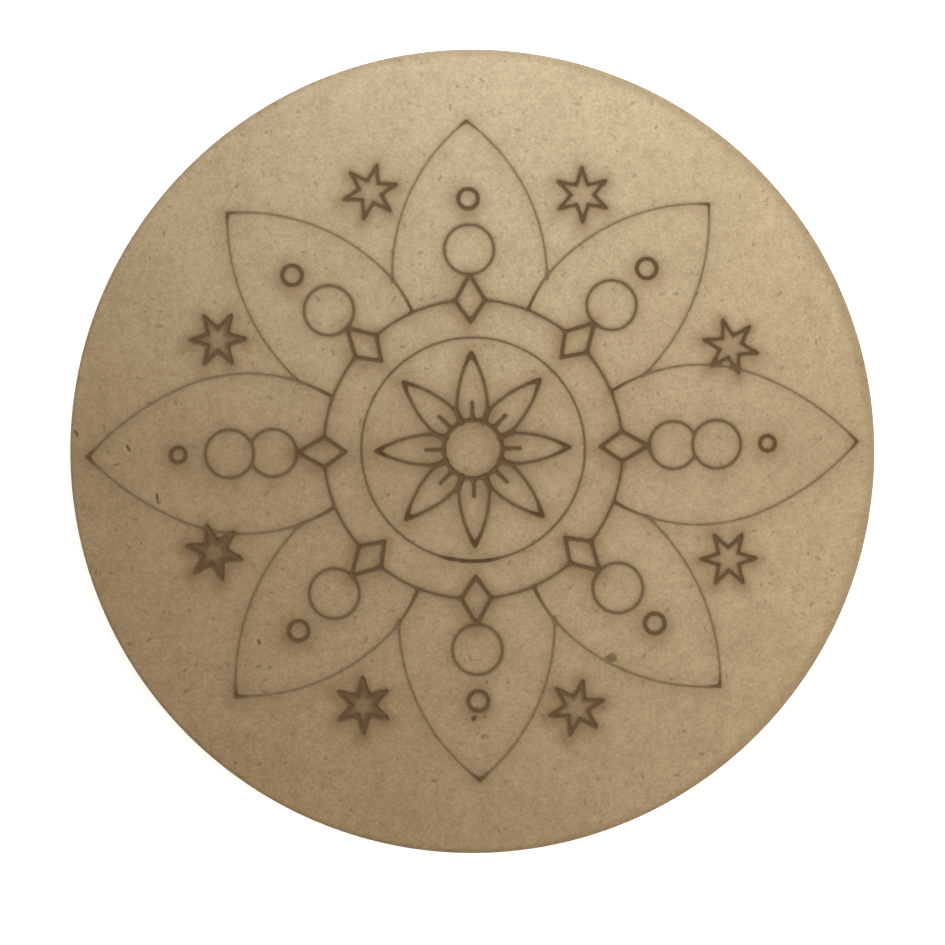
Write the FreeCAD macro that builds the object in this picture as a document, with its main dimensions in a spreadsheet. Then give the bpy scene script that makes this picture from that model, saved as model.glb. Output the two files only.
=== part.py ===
"""Round engraved board: a flat fibreboard disc with a laser-scored mandala in its upper face.

The board lies on the XY plane with its plain back down. The origin is the centre of the back,
+Z is up, and the ornament's long petals point along +X and -X. Every scored line is a shallow
channel. Lengths are in millimetres and angles in degrees.
"""
import FreeCAD, Part
import os
from math import cos, radians, sin
import Sketcher

NODE_NAME = "engraved_disc"

# Driving dimensions. A station is a distance from the middle of the board along an axis of the
# ornament, and a line's width is the width of its channel. A large petal's side bulges as far as
# its reach, is widest at its shoulder, and starts on the outer ring at its base, an angle from
# the petal's axis. A corner petal's open side lies over a short petal, and its hidden side runs
# under a long one. A covered side starts at its stop instead, where the other petal's line is.
DIMENSIONS = {
    "disc_diameter": 200.0,
    "board_thickness": 3.0,
    "score_depth": 0.2,
    "fine_line": 0.5,
    "bold_line": 0.9,
    "valley_line": 1.4,
    "core_radius": 7.25,
    "inner_ring": 27.8,
    "outer_ring": 37.2,
    "stamen_end": 11.6,
    "flower_tip": 23.9,
    "flower_valley": 10.6,
    "flower_arc": 27.5,
    "diamond_start": 31.7,
    "diamond_end": 43.6,
    "diamond_reach": 3.75,
    "bead_station": 49.8,
    "bead_radius": 6.2,
    "pair_near_station": 49.8,
    "pair_near_radius": 5.9,
    "pair_far_station": 60.6,
    "pair_far_radius": 6.0,
    "stud_station": 62.5,
    "stud_radius": 2.45,
    "side_stud_station": 73.3,
    "side_stud_radius": 1.85,
    "star_station": 69.1,
    "star_bearing": 65.6,
    "star_tip": 6.8,
    "star_notch": 2.8,
    "short_tip": 82,
    "short_reach": 19.3,
    "short_shoulder": 43,
    "short_base": 20.8,
    "short_stop": 42.0,
    "corner_tip": 84.9,
    "open_reach": 16.8,
    "open_shoulder": 47.5,
    "open_base": 22.3,
    "hidden_reach": 17.9,
    "hidden_shoulder": 44,
    "hidden_base": 22.5,
    "hidden_stop": 42.2,
    "long_tip": 95.7,
    "long_reach": 19.9,
    "long_shoulder": 56.3,
    "long_base": 21.5,
    "long_join": 23,
}

SECTORS = 8
SECTOR_ANGLE = 360 / SECTORS
LONG_PETAL_BEARINGS = (0, 180)
SHORT_PETAL_BEARING = 90
CORNER_PETAL_BEARINGS = (45, 135)
STAR_POINTS = 6
STAR_STEP = 180 / STAR_POINTS
STAR_TURN = 90


def make_sheet(document):
    """Put the driving dimensions in a spreadsheet, one named cell each."""
    sheet = document.addObject("Spreadsheet::Sheet", "Sheet")
    for row, (name, value) in enumerate(DIMENSIONS.items(), start=1):
        sheet.set(f"A{row}", name)
        sheet.set(f"B{row}", str(value))
        sheet.setAlias(f"B{row}", name)
    document.recompute()
    return sheet


def derived_values(document, name, lengths=None, angles=None):
    """Hold values worked out from the driving dimensions, in the order they are given."""
    values = document.addObject("App::VarSet", name)
    for kind, group in (("App::PropertyFloat", lengths), ("App::PropertyAngle", angles)):
        for prop, expression in (group or {}).items():
            values.addProperty(kind, prop)
            values.setExpression(prop, expression)
            document.recompute()
    return values


# ---------------------------------------------------------------- sketch helpers

def plane_of(body, role):
    """Find one of the body's own origin planes or axes by its role."""
    return next(item for item in body.Origin.OriginFeatures if item.Role == role)


def new_sketch(body, name, bearing=0.0, on_top=True):
    """Start a sketch parallel to the board, its X axis turned to a bearing about the centre."""
    sketch = body.newObject("Sketcher::SketchObject", name)
    sketch.AttachmentSupport = [(plane_of(body, "XY_Plane"), "")]
    sketch.MapMode = "FlatFace"
    turn = FreeCAD.Rotation(FreeCAD.Vector(0, 0, 1), bearing)
    sketch.AttachmentOffset = FreeCAD.Placement(FreeCAD.Vector(0, 0, 0), turn)
    if on_top:
        sketch.setExpression("AttachmentOffset.Base.z", "Sheet.board_thickness")
    return sketch


def value_of(sketch, expression):
    """The present value of an expression, as a plain number."""
    value = sketch.evalExpression(expression)
    return float(getattr(value, "Value", value))


def dimension(sketch, kind, references, expression):
    """Add one named dimension and bind it to an expression."""
    value = value_of(sketch, expression)
    if kind == "Angle":
        value = radians(value)
    index = sketch.addConstraint(Sketcher.Constraint(kind, *references, value))
    name = f"{kind.lower()}_{index}"
    sketch.renameConstraint(index, name)
    sketch.setExpression(f"Constraints.{name}", expression)


def join(sketch, first, first_end, second, second_end):
    sketch.addConstraint(Sketcher.Constraint("Coincident", first, first_end, second, second_end))


def place_point(sketch, geometry, end, x, y):
    """Fix a point of the sketch at two expressions, measured from the sketch's origin."""
    dimension(sketch, "DistanceX", (-1, 1, geometry, end), x)
    dimension(sketch, "DistanceY", (-1, 1, geometry, end), y)


def circle_band(sketch, x, y, radius, width):
    """Two circles that bound a round channel centred on the given radius."""
    centre = FreeCAD.Vector(value_of(sketch, x), value_of(sketch, y), 0)
    for edge in (f"{radius} + {width} / 2", f"{radius} - {width} / 2"):
        circle = Part.Circle(centre, FreeCAD.Vector(0, 0, 1), value_of(sketch, edge))
        index = sketch.addGeometry(circle)
        place_point(sketch, index, 3, x, y)
        dimension(sketch, "Radius", (index,), edge)


def arc_band(sketch, x, y, radius, width, start, end):
    """Bound a channel that follows an arc, with square ends, from the start to the end angle."""
    centre = FreeCAD.Vector(value_of(sketch, x), value_of(sketch, y), 0)
    angles = [radians(value_of(sketch, angle)) for angle in (start, end)]
    edges = (f"{radius} - {width} / 2", f"{radius} + {width} / 2")
    arcs = []
    for edge in edges:
        circle = Part.Circle(centre, FreeCAD.Vector(0, 0, 1), value_of(sketch, edge))
        arcs.append(sketch.addGeometry(Part.ArcOfCircle(circle, *angles)))
        dimension(sketch, "Radius", (arcs[-1],), edge)
    inner, outer = arcs
    place_point(sketch, inner, 3, x, y)
    join(sketch, inner, 3, outer, 3)
    for end_number, angle, expression in zip((1, 2), angles, (start, end)):
        direction = FreeCAD.Vector(cos(angle), sin(angle), 0)
        near, far = (centre + direction * value_of(sketch, edge) for edge in edges)
        cap = sketch.addGeometry(Part.LineSegment(near, far))
        join(sketch, cap, 1, inner, end_number)
        join(sketch, cap, 2, outer, end_number)
        dimension(sketch, "Angle", (cap,), expression)


def closed_outline(sketch, corners):
    """A closed run of straight lines through corners given as pairs of expressions."""
    points = [FreeCAD.Vector(value_of(sketch, x), value_of(sketch, y), 0) for x, y in corners]
    lines = [sketch.addGeometry(Part.LineSegment(point, points[(index + 1) % len(points)]))
             for index, point in enumerate(points)]
    for index, (x, y) in enumerate(corners):
        join(sketch, lines[index - 1], 2, lines[index], 1)
        place_point(sketch, lines[index], 1, x, y)


def bar(sketch, start, end, width):
    """A straight channel along the sketch's X axis."""
    half = f"{width} / 2"
    closed_outline(sketch, [(start, f"-{half}"), (end, f"-{half}"), (end, half), (start, half)])


def score(body, sketch):
    """Cut a sketch into the board as deep as a scored line, and check that it cut."""
    document = body.Document
    document.recompute()
    before = body.Shape.Volume
    pocket = body.newObject("PartDesign::Pocket", f"{sketch.Name}_score")
    pocket.Profile = sketch
    pocket.setExpression("Length", "Sheet.score_depth")
    document.recompute()
    if not 0 < before - body.Shape.Volume < before / 100:
        raise RuntimeError(f"{pocket.Name} did not cut a shallow channel")
    return pocket


def repeat_round(body, name, features, count):
    """Repeat features evenly about the board's centre."""
    before = body.Shape.Volume
    pattern = body.newObject("PartDesign::PolarPattern", name)
    pattern.Originals = features
    pattern.Axis = (plane_of(body, "Z_Axis"), [""])
    pattern.Angle = 360
    pattern.Occurrences = count
    body.Tip = pattern
    body.Document.recompute()
    if not body.Shape.Volume < before:
        raise RuntimeError(f"{name} repeated nothing")
    return pattern


# ---------------------------------------------------------------- the board and its ornament

def add_disc(body):
    """The plain round board."""
    sketch = new_sketch(body, "disc_outline", on_top=False)
    centre = FreeCAD.Vector(0, 0, 0)
    circle = sketch.addGeometry(Part.Circle(centre, FreeCAD.Vector(0, 0, 1), 1.0))
    join(sketch, circle, 3, -1, 1)
    dimension(sketch, "Radius", (circle,), "Sheet.disc_diameter / 2")
    pad = body.newObject("PartDesign::Pad", "board")
    pad.Profile = sketch
    pad.setExpression("Length", "Sheet.board_thickness")


def score_rings(body):
    """The core circle and the inner ring, both about the board's centre."""
    sketch = new_sketch(body, "rings")
    circle_band(sketch, "0", "0", "Sheet.core_radius", "Sheet.bold_line")
    circle_band(sketch, "0", "0", "Sheet.inner_ring", "Sheet.fine_line")
    score(body, sketch)


def score_beads_and_studs(body):
    """The large bead circle and the small stud ring inside each of the eight petals."""
    sketch = new_sketch(body, "beads_and_studs")
    for sector in range(SECTORS):
        bearing = sector * SECTOR_ANGLE
        side = bearing in LONG_PETAL_BEARINGS
        bead = "Sheet.pair_far" if side else "Sheet.bead"
        stud = "Sheet.side_stud" if side else "Sheet.stud"
        for ring in (bead, stud):
            x = f"{ring}_station * cos({bearing})"
            y = f"{ring}_station * sin({bearing})"
            circle_band(sketch, x, y, f"{ring}_radius", "Sheet.bold_line")
    score(body, sketch)


def score_near_bead(body):
    """The inner bead of a long petal's pair, which stops at the outer bead's circle."""
    sketch = new_sketch(body, "near_bead")
    arc_band(sketch, "Sheet.pair_near_station", "0", "Sheet.pair_near_radius", "Sheet.bold_line",
             "Pair.meeting", "360 deg - Pair.meeting")
    return score(body, sketch)


def score_outer_ring(body):
    """One sector of the outer ring, from one diamond's side corner to the next."""
    sketch = new_sketch(body, "outer_ring_sector")
    arc_band(sketch, "0", "0", "Sheet.outer_ring", "Sheet.bold_line",
             "Diamond.corner_bearing", f"{SECTOR_ANGLE} deg - Diamond.corner_bearing")
    return score(body, sketch)


def score_diamond(body):
    """The diamond between the inner ring and a bead; its side corners lie on the outer ring."""
    sketch = new_sketch(body, "diamond")
    for offset in ("Sheet.bold_line / 2", "-Sheet.bold_line / 2"):
        start = f"Sheet.diamond_start - {offset} * Diamond.near_edge / Sheet.diamond_reach"
        end = f"Sheet.diamond_end + {offset} * Diamond.far_edge / Sheet.diamond_reach"
        middle = f"Diamond.corner_station + {offset} * Diamond.corner_shift"
        reach = f"(Sheet.diamond_reach + {offset} * Diamond.corner_growth)"
        closed_outline(sketch, [(start, "0"), (middle, f"-{reach}"), (end, "0"), (middle, reach)])
    return score(body, sketch)


def score_star(body):
    """The six-pointed star that stands between two petals."""
    sketch = new_sketch(body, "star")
    for scale in ("(1 + Star.growth)", "(1 - Star.growth)"):
        corners = []
        for step in range(2 * STAR_POINTS):
            radius = "Sheet.star_notch" if step % 2 else "Sheet.star_tip"
            angle = STAR_TURN + step * STAR_STEP
            corners.append((f"Star.x + {radius} * {scale} * cos({angle})",
                            f"Star.y + {radius} * {scale} * sin({angle})"))
        closed_outline(sketch, corners)
    return score(body, sketch)


def score_flower_petal(body):
    """Both curved sides of one flower petal, the valley beside it and the stamen inside it.

    In a valley the sides of two petals run together to the core as one wide channel.
    """
    features = []
    for side, sign in (("left", 1), ("right", -1)):
        sketch = new_sketch(body, f"flower_{side}")
        ends = ("Flower.tip_angle", "Flower.inner_angle")
        start, end = ends if sign > 0 else (f"-{ends[1]}", f"-{ends[0]}")
        arc_band(sketch, "Flower.centre_x", f"{sign} * Flower.centre_y", "Sheet.flower_arc",
                 "Sheet.bold_line", start, end)
        features.append(score(body, sketch))
    valley = new_sketch(body, "flower_valley", bearing=SECTOR_ANGLE / 2)
    bar(valley, "Sheet.core_radius", "Sheet.flower_valley", "Sheet.valley_line")
    features.append(score(body, valley))
    stamen = new_sketch(body, "stamen")
    bar(stamen, "Sheet.core_radius", "Sheet.stamen_end", "Sheet.bold_line")
    features.append(score(body, stamen))
    return features


def petal_side_values(document, side, tip, join_angle="0"):
    """Work out the two arcs of a kind of petal side, in a frame with X along the petal's axis.

    The side arc starts on the outer ring and is widest at the shoulder. The flank arc leaves it
    smoothly at the join angle, measured at the side arc's centre from its widest point, and ends
    at the tip.
    """
    name = f"{side.capitalize()}Side"
    tip = f"Sheet.{tip}"
    reach = f"Sheet.{side}_reach"
    shoulder = f"Sheet.{side}_shoulder"
    return derived_values(document, name, lengths={
        "base_x": f"Sheet.outer_ring * cos(Sheet.{side}_base)",
        "base_y": f"Sheet.outer_ring * sin(Sheet.{side}_base)",
        "rise": f"{reach} - {name}.base_y",
        "radius": f"(({shoulder} - {name}.base_x) ^ 2 + {name}.rise ^ 2) / (2 * {name}.rise)",
        "centre_y": f"{reach} - {name}.radius",
        "tip_gap": f"{tip} - {shoulder}",
        "tip_square": f"{name}.tip_gap ^ 2 + {name}.centre_y ^ 2",
        "tip_along_join": f"{name}.tip_gap * sin({join_angle})"
                          f" - {name}.centre_y * cos({join_angle})",
        "centre_gap": f"({name}.tip_square - {name}.radius ^ 2)"
                      f" / (2 * ({name}.radius - {name}.tip_along_join))",
        "flank_radius": f"{name}.radius + {name}.centre_gap",
        "flank_x": f"{shoulder} - {name}.centre_gap * sin({join_angle})",
        "flank_y": f"{name}.centre_y - {name}.centre_gap * cos({join_angle})",
    }, angles={
        "tip_angle": f"acos(({tip} - {name}.flank_x) / {name}.flank_radius)",
        "base_angle": f"90 deg + asin(({shoulder} - {name}.base_x) / {name}.radius)",
        "join_bearing": f"(90 - {join_angle}) * 1 deg",
    })


def score_petal_side(body, side, bearing, sign, covered=False):
    """Score one side of a petal; a covered side arc starts at its stop, not on the outer ring."""
    name = f"{side.capitalize()}Side"
    shoulder = f"Sheet.{side}_shoulder"
    base = f"{name}.base_angle"
    if covered:
        base = f"90 deg + asin(({shoulder} - Sheet.{side}_stop) / {name}.radius)"
    arcs = {
        "flank": (f"{name}.flank_x", f"{name}.flank_y", f"{name}.flank_radius",
                  f"{name}.tip_angle", f"{name}.join_bearing"),
        "side": (shoulder, f"{name}.centre_y", f"{name}.radius", f"{name}.join_bearing", base),
    }
    features = []
    hand = "left" if sign > 0 else "right"
    for arc, (x, y, radius, start, end) in arcs.items():
        sketch = new_sketch(body, f"petal_{bearing}_{hand}_{arc}", bearing=bearing)
        if sign < 0:
            start, end = f"-({end})", f"-({start})"
        arc_band(sketch, x, f"{sign} * {y}", radius, "Sheet.fine_line", start, end)
        features.append(score(body, sketch))
    return features


def score_large_petals(body):
    """Half of the large petals. Long ones lie over corner ones, and corner ones over short ones."""
    features = []
    for sign in (1, -1):
        features += score_petal_side(body, "long", LONG_PETAL_BEARINGS[0], sign)
        features += score_petal_side(body, "short", SHORT_PETAL_BEARING, sign, covered=True)
        for bearing in CORNER_PETAL_BEARINGS:
            hidden = (sign < 0) == (bearing < SHORT_PETAL_BEARING)
            side = "hidden" if hidden else "open"
            features += score_petal_side(body, side, bearing, sign, covered=hidden)
    return features


def make_derived_values(document):
    """Everything that is worked out once from the driving dimensions."""
    derived_values(document, "Pair", lengths={
        "gap": "Sheet.pair_far_station - Sheet.pair_near_station",
    }, angles={
        "meeting": "acos((Pair.gap ^ 2 + Sheet.pair_near_radius ^ 2 - Sheet.pair_far_radius ^ 2)"
                   " / (2 * Pair.gap * Sheet.pair_near_radius))",
    })
    derived_values(document, "Diamond", lengths={
        "corner_station": "sqrt(Sheet.outer_ring ^ 2 - Sheet.diamond_reach ^ 2)",
        "near_length": "Diamond.corner_station - Sheet.diamond_start",
        "far_length": "Sheet.diamond_end - Diamond.corner_station",
        "near_edge": "sqrt(Sheet.diamond_reach ^ 2 + Diamond.near_length ^ 2)",
        "far_edge": "sqrt(Sheet.diamond_reach ^ 2 + Diamond.far_length ^ 2)",
        "corner_growth": "(Diamond.near_edge + Diamond.far_edge)"
                         " / (Diamond.near_length + Diamond.far_length)",
        "corner_shift": "(Diamond.near_length * Diamond.corner_growth - Diamond.near_edge)"
                        " / Sheet.diamond_reach",
    }, angles={
        "corner_bearing": "asin(Sheet.diamond_reach / Sheet.outer_ring)",
    })
    derived_values(document, "Star", lengths={
        "x": "Sheet.star_station * cos(Sheet.star_bearing)",
        "y": "Sheet.star_station * sin(Sheet.star_bearing)",
        "edge": "sqrt(Sheet.star_tip ^ 2 + Sheet.star_notch ^ 2"
                f" - 2 * Sheet.star_tip * Sheet.star_notch * cos({STAR_STEP}))",
        "edge_distance": f"Sheet.star_tip * Sheet.star_notch * sin({STAR_STEP}) / Star.edge",
        "growth": "Sheet.bold_line / 2 / Star.edge_distance",
    })
    half_sector = SECTOR_ANGLE / 2
    derived_values(document, "Flower", lengths={
        "aside": "(Sheet.valley_line - Sheet.bold_line) / 2",
        "inner_x": f"Sheet.flower_valley * cos({half_sector}) + Flower.aside * sin({half_sector})",
        "inner_y": f"Sheet.flower_valley * sin({half_sector}) - Flower.aside * cos({half_sector})",
        "run_x": "Sheet.flower_tip - Flower.inner_x",
        "chord": "sqrt(Flower.run_x ^ 2 + Flower.inner_y ^ 2)",
        "setback": "sqrt(Sheet.flower_arc ^ 2 - Flower.chord ^ 2 / 4)",
        "centre_x": "(Sheet.flower_tip + Flower.inner_x) / 2"
                    " - Flower.setback * Flower.inner_y / Flower.chord",
        "centre_y": "Flower.inner_y / 2 - Flower.setback * Flower.run_x / Flower.chord",
    }, angles={
        "tip_angle": "acos((Sheet.flower_tip - Flower.centre_x) / Sheet.flower_arc)",
        "inner_angle": "acos((Flower.inner_x - Flower.centre_x) / Sheet.flower_arc)",
    })
    petal_side_values(document, "short", "short_tip")
    petal_side_values(document, "open", "corner_tip")
    petal_side_values(document, "hidden", "corner_tip")
    petal_side_values(document, "long", "long_tip", join_angle="Sheet.long_join")


def make_board(document):
    """Build the board and score its ornament into the upper face."""
    body = document.addObject("PartDesign::Body", NODE_NAME)
    body.Label = NODE_NAME
    body.Placement = FreeCAD.Placement()
    add_disc(body)
    score_rings(body)
    score_beads_and_studs(body)
    sector_features = [score_outer_ring(body), score_diamond(body), score_star(body)]
    sector_features += score_flower_petal(body)
    repeat_round(body, "all_sectors", sector_features, SECTORS)
    half_features = [score_near_bead(body)] + score_large_petals(body)
    repeat_round(body, "both_halves", half_features, len(LONG_PETAL_BEARINGS))
    return body


def check_document(document, body):
    """Stop if any object failed, or if the board is not one valid solid."""
    failed = [item.Name for item in document.Objects
              if {"Invalid", "Error"} & set(item.State)]
    if failed:
        raise RuntimeError(f"failed objects: {failed}")
    shape = body.Shape
    if shape.isNull() or not shape.isValid() or len(shape.Solids) != 1:
        raise RuntimeError("the board is not one valid solid")


def main():
    document = FreeCAD.newDocument("EngravedBoard")
    make_sheet(document)
    make_derived_values(document)
    body = make_board(document)
    check_document(document, body)
    os.makedirs("parts", exist_ok=True)
    body.Shape.exportStep(f"parts/{NODE_NAME}.step")
    box = body.Shape.BoundBox
    print(f"{NODE_NAME}: {box.XLength:.2f} x {box.YLength:.2f} x {box.ZLength:.2f} mm, "
          f"{body.Shape.Volume:.0f} mm3, {len(body.Shape.Faces)} faces")


main()
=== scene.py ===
"""The visual model of the engraved disc: a round board of wood fibre, cut and scored by a laser.

Every scored line is a real channel in the mesh, with the char and smoke that the laser left.
Places and sizes on the board are in millimetres from the middle of its face, with x to the right
and y up the pattern, and MM turns them into metres.
"""

from collections import namedtuple
from math import acos, asin, ceil, cos, degrees, hypot, pi, radians, sin, sqrt

import bmesh
import bpy
import numpy as np
from mathutils import Matrix, Vector, noise
from mathutils.geometry import delaunay_2d_cdt


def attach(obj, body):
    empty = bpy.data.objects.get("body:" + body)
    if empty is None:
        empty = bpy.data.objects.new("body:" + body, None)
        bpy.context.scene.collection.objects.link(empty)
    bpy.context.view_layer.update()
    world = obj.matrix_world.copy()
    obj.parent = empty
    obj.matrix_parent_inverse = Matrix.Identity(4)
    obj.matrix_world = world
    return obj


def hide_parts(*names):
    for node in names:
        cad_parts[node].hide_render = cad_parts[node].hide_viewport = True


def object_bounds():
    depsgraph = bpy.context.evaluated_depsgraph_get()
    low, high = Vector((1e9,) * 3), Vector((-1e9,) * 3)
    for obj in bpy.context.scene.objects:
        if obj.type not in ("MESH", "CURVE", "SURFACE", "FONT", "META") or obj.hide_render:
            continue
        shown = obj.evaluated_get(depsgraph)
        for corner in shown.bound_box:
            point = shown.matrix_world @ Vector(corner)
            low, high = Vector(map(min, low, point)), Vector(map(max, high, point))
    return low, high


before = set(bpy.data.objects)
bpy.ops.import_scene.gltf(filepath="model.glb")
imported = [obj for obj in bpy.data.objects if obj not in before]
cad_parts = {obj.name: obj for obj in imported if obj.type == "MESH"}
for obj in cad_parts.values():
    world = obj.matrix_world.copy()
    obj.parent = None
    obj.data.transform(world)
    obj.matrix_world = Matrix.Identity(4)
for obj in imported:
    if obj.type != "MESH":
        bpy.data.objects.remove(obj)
cad_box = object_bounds()

MM = 0.001
NODE_NAME = "engraved_disc"
RADIUS = min(cad_box[1].x, -cad_box[0].x) / MM
THICKNESS = cad_box[1].z / MM
SCORE_DEPTH = 0.2
FINE_LINE = 0.5
BOLD_LINE = 0.9
VALLEY_LINE = 1.4

SECTORS = 8
SECTOR_ANGLE = 360 / SECTORS
EVERYWHERE = tuple(sector * SECTOR_ANGLE for sector in range(SECTORS))

# Rings about the middle, and the ends of the strokes that leave the core.
CORE_RADIUS = 7.25
INNER_RING = 27.8
OUTER_RING = 37.2
STAMEN_END = 11.6
FLOWER_TIP = 23.9
FLOWER_VALLEY = 10.6
FLOWER_ARC = 27.5

# Each diamond's near and far corners, and how far its side corners reach to either side.
DIAMOND_START = 31.7
DIAMOND_END = 43.6
DIAMOND_REACH = 3.75

# Circles inside the petals: how far out each stands, and its radius.
BEAD = (49.8, 6.2)
PAIR_NEAR = (49.8, 5.9)
PAIR_FAR = (60.6, 6.0)
STUD = (62.5, 2.45)
SIDE_STUD = (73.3, 1.85)

# A star between two petals: how far out it stands, the first one's bearing, how far its points
# and its notches are from its middle, and how many points it has.
STAR_STATION = 69.1
STAR_BEARING = 65.6
STAR_TIP = 6.8
STAR_NOTCH = 2.8
STAR_POINTS = 6

# One side of a large petal: the petal's tip, how far the side bulges, where along the axis it is
# widest, and the bearing from the axis where it leaves the outer ring. The sides of a long petal
# bend more sharply towards the tip, from the join angle on. A side that another petal covers
# stops short of the ring. A corner petal covers the short one and is covered by the long one.
PetalSide = namedtuple("PetalSide", "tip reach shoulder base join stop")
CORNER_TIP = 84.9
SHORT_SIDE = PetalSide(82, 19.3, 43, 20.8, 0, 42.0)
OPEN_SIDE = PetalSide(CORNER_TIP, 16.8, 47.5, 22.3, 0, None)
HIDDEN_SIDE = PetalSide(CORNER_TIP, 17.9, 44, 22.5, 0, 42.2)
LONG_SIDE = PetalSide(95.7, 19.9, 56.3, 21.5, 23, None)

# How a stroke of the laser looks: the width of its channel, how dark it burned, how far the
# char spreads past the channel's lips, and how much smoke it left around it.
Look = namedtuple("Look", "width burn spread smoke")
FINE = Look(FINE_LINE, 0.66, 0.0, 0.17)
INNER = Look(FINE_LINE, 0.85, 0.0, 0.2)
RING = Look(BOLD_LINE, 0.95, -0.17, 0.27)
BEADS = Look(BOLD_LINE, 0.88, -0.1, 0.25)
CORE = Look(BOLD_LINE, 1.0, 0.1, 0.28)
FLOWER = Look(BOLD_LINE, 0.95, -0.1, 0.33)
VALLEY = Look(VALLEY_LINE, 1.0, 0.06, 0.25)
STAMENS = Look(BOLD_LINE, 1.0, 0.04, 0.2)
DIAMONDS = Look(BOLD_LINE, 1.0, 0.04, 0.54)
STUDS = Look(BOLD_LINE, 1.0, 0.05, 0.5)
STARS = Look(BOLD_LINE, 1.0, -0.05, 0.58)
# How far the singeing reaches from most lines, and into each star from its outline, anticlockwise
# from the star that is up and right of the middle; and how far the outline spreads with it.
SINGE_REACH = 0.4
STAR_SINGES = (0.45, 0.5, 0.75, 1.15, 1.0, 0.6, 0.5, 0.5)
STAR_BLEED = 0.2

# Stray burns and dark bits of bark: where each lies, its size, its bearing, and how dark it is.
Stain = namedtuple("Stain", "x y length width bearing strength")
STAINS = (Stain(33.2, -52.5, 3.2, 2.4, 0, 0.7), Stain(-1.1, -66.6, 1.7, 1.3, 45, 0.9),
          Stain(1.4, -66.4, 1.0, 0.8, 0, 0.5), Stain(1.3, -71.2, 1.9, 1.5, 20, 0.45),
          Stain(-78.6, -10.4, 3.2, 0.6, 98, 0.85), Stain(-98.4, 6.0, 1.6, 0.7, 118, 0.8),
          Stain(-85.6, 2.0, 2.3, 0.8, 115, 0.8), Stain(-54.0, -46.6, 1.4, 0.8, 120, 0.7),
          Stain(2.3, -57.8, 1.0, 0.8, 0, 0.5), Stain(-88.6, -2.0, 1.5, 0.6, 10, 0.5))


# ---------------------------------------------------------------- strokes of the laser

class Line:
    """A straight stroke."""

    def __init__(self, start, end):
        self.start = np.array(start, float)
        self.run = np.array(end, float) - self.start
        self.length = hypot(*self.run)

    def at(self, share):
        return self.start + np.outer(share, self.run)

    def points(self, step):
        return self.at(np.linspace(0, 1, ceil(self.length / step) + 1))

    def near(self, spots):
        """How far each spot is from the stroke, and whether it lies abreast of it."""
        share = (spots - self.start) @ self.run / self.length**2
        held = np.clip(share, 0, 1)
        return np.linalg.norm(spots - self.at(held), axis=1), share == held

    def beside(self, gap):
        """What bounds the strip that reaches this far to both sides of the stroke."""
        aside = np.array((-self.run[1], self.run[0])) * gap / self.length
        end = self.start + self.run
        return [Line(self.start + aside, end + aside), Line(self.start - aside, end - aside),
                Arc(self.start, gap), Arc(end, gap)]

    def mirrored(self):
        flip = np.array((1, -1))
        return Line(self.start * flip, (self.start + self.run) * flip)

    def turned(self, bearing):
        return Line(turn(self.start, bearing), turn(self.start + self.run, bearing))


class Arc:
    """A stroke along a circle, anticlockwise from one bearing to another, or all round."""
    CHORD_ERROR = 0.008

    def __init__(self, centre, radius, start=0.0, end=360.0):
        self.centre = np.array(centre, float)
        self.radius = radius
        self.start = start
        self.sweep = end - start
        self.length = radius * radians(self.sweep)

    def at(self, share):
        angle = np.radians(self.start + np.asarray(share) * self.sweep)
        return self.centre + self.radius * np.column_stack((np.cos(angle), np.sin(angle)))

    def points(self, step):
        step = min(step, sqrt(8 * self.radius * self.CHORD_ERROR))
        return self.at(np.linspace(0, 1, ceil(self.length / step) + 1))

    def near(self, spots):
        """How far each spot is from the stroke, and whether it lies abreast of it."""
        away = spots - self.centre
        to_circle = np.abs(np.hypot(away[:, 0], away[:, 1]) - self.radius)
        bearing = (np.degrees(np.arctan2(away[:, 1], away[:, 0])) - self.start) % 360
        abreast = bearing <= self.sweep
        start, end = self.at((0, 1))
        to_ends = np.minimum(np.linalg.norm(spots - start, axis=1),
                             np.linalg.norm(spots - end, axis=1))
        return np.where(abreast, to_circle, to_ends), abreast

    def beside(self, gap):
        """What bounds the strip that reaches this far to both sides of the stroke."""
        sides = [Arc(self.centre, self.radius + offset, self.start, self.start + self.sweep)
                 for offset in (gap, -gap) if self.radius + offset > 0]
        if self.sweep >= 360:
            return sides
        return sides + [Arc(end, gap) for end in self.at((0, 1))]

    def mirrored(self):
        return Arc(self.centre * (1, -1), self.radius, -self.start - self.sweep, -self.start)

    def turned(self, bearing):
        start = self.start + bearing
        return Arc(turn(self.centre, bearing), self.radius, start, start + self.sweep)


def turn(spot, bearing):
    """A place on the board, turned about the middle."""
    along, across = cos(radians(bearing)), sin(radians(bearing))
    x, y = spot
    return np.array((x * along - y * across, x * across + y * along))


def both_sides(strokes):
    """The strokes and their mirror images across the x axis."""
    return strokes + [stroke.mirrored() for stroke in strokes]


def outline(corners):
    """Straight strokes round a closed shape."""
    return [Line(corners[index - 1], corner) for index, corner in enumerate(corners)]


# ---------------------------------------------------------------- the pattern, lying along +x

def flower_petal():
    """The curved sides of one petal of the flower round the core."""
    tip = np.array((FLOWER_TIP, 0))
    inner = turn((FLOWER_VALLEY, (BOLD_LINE - VALLEY_LINE) / 2), SECTOR_ANGLE / 2)
    run = tip - inner
    chord = hypot(*run)
    setback = sqrt(FLOWER_ARC**2 - chord**2 / 4)
    centre = (tip + inner) / 2 + np.array((run[1], -run[0])) * setback / chord
    start, end = (degrees(acos((x - centre[0]) / FLOWER_ARC)) for x in (tip[0], inner[0]))
    return both_sides([Arc(centre, FLOWER_ARC, start, end)])


def flower_valley():
    """The wide stroke where the sides of two petals run together to the core."""
    return [Line((CORE_RADIUS, 0), (FLOWER_VALLEY, 0))]


def stamen():
    return [Line((CORE_RADIUS, 0), (STAMEN_END, 0))]


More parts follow.
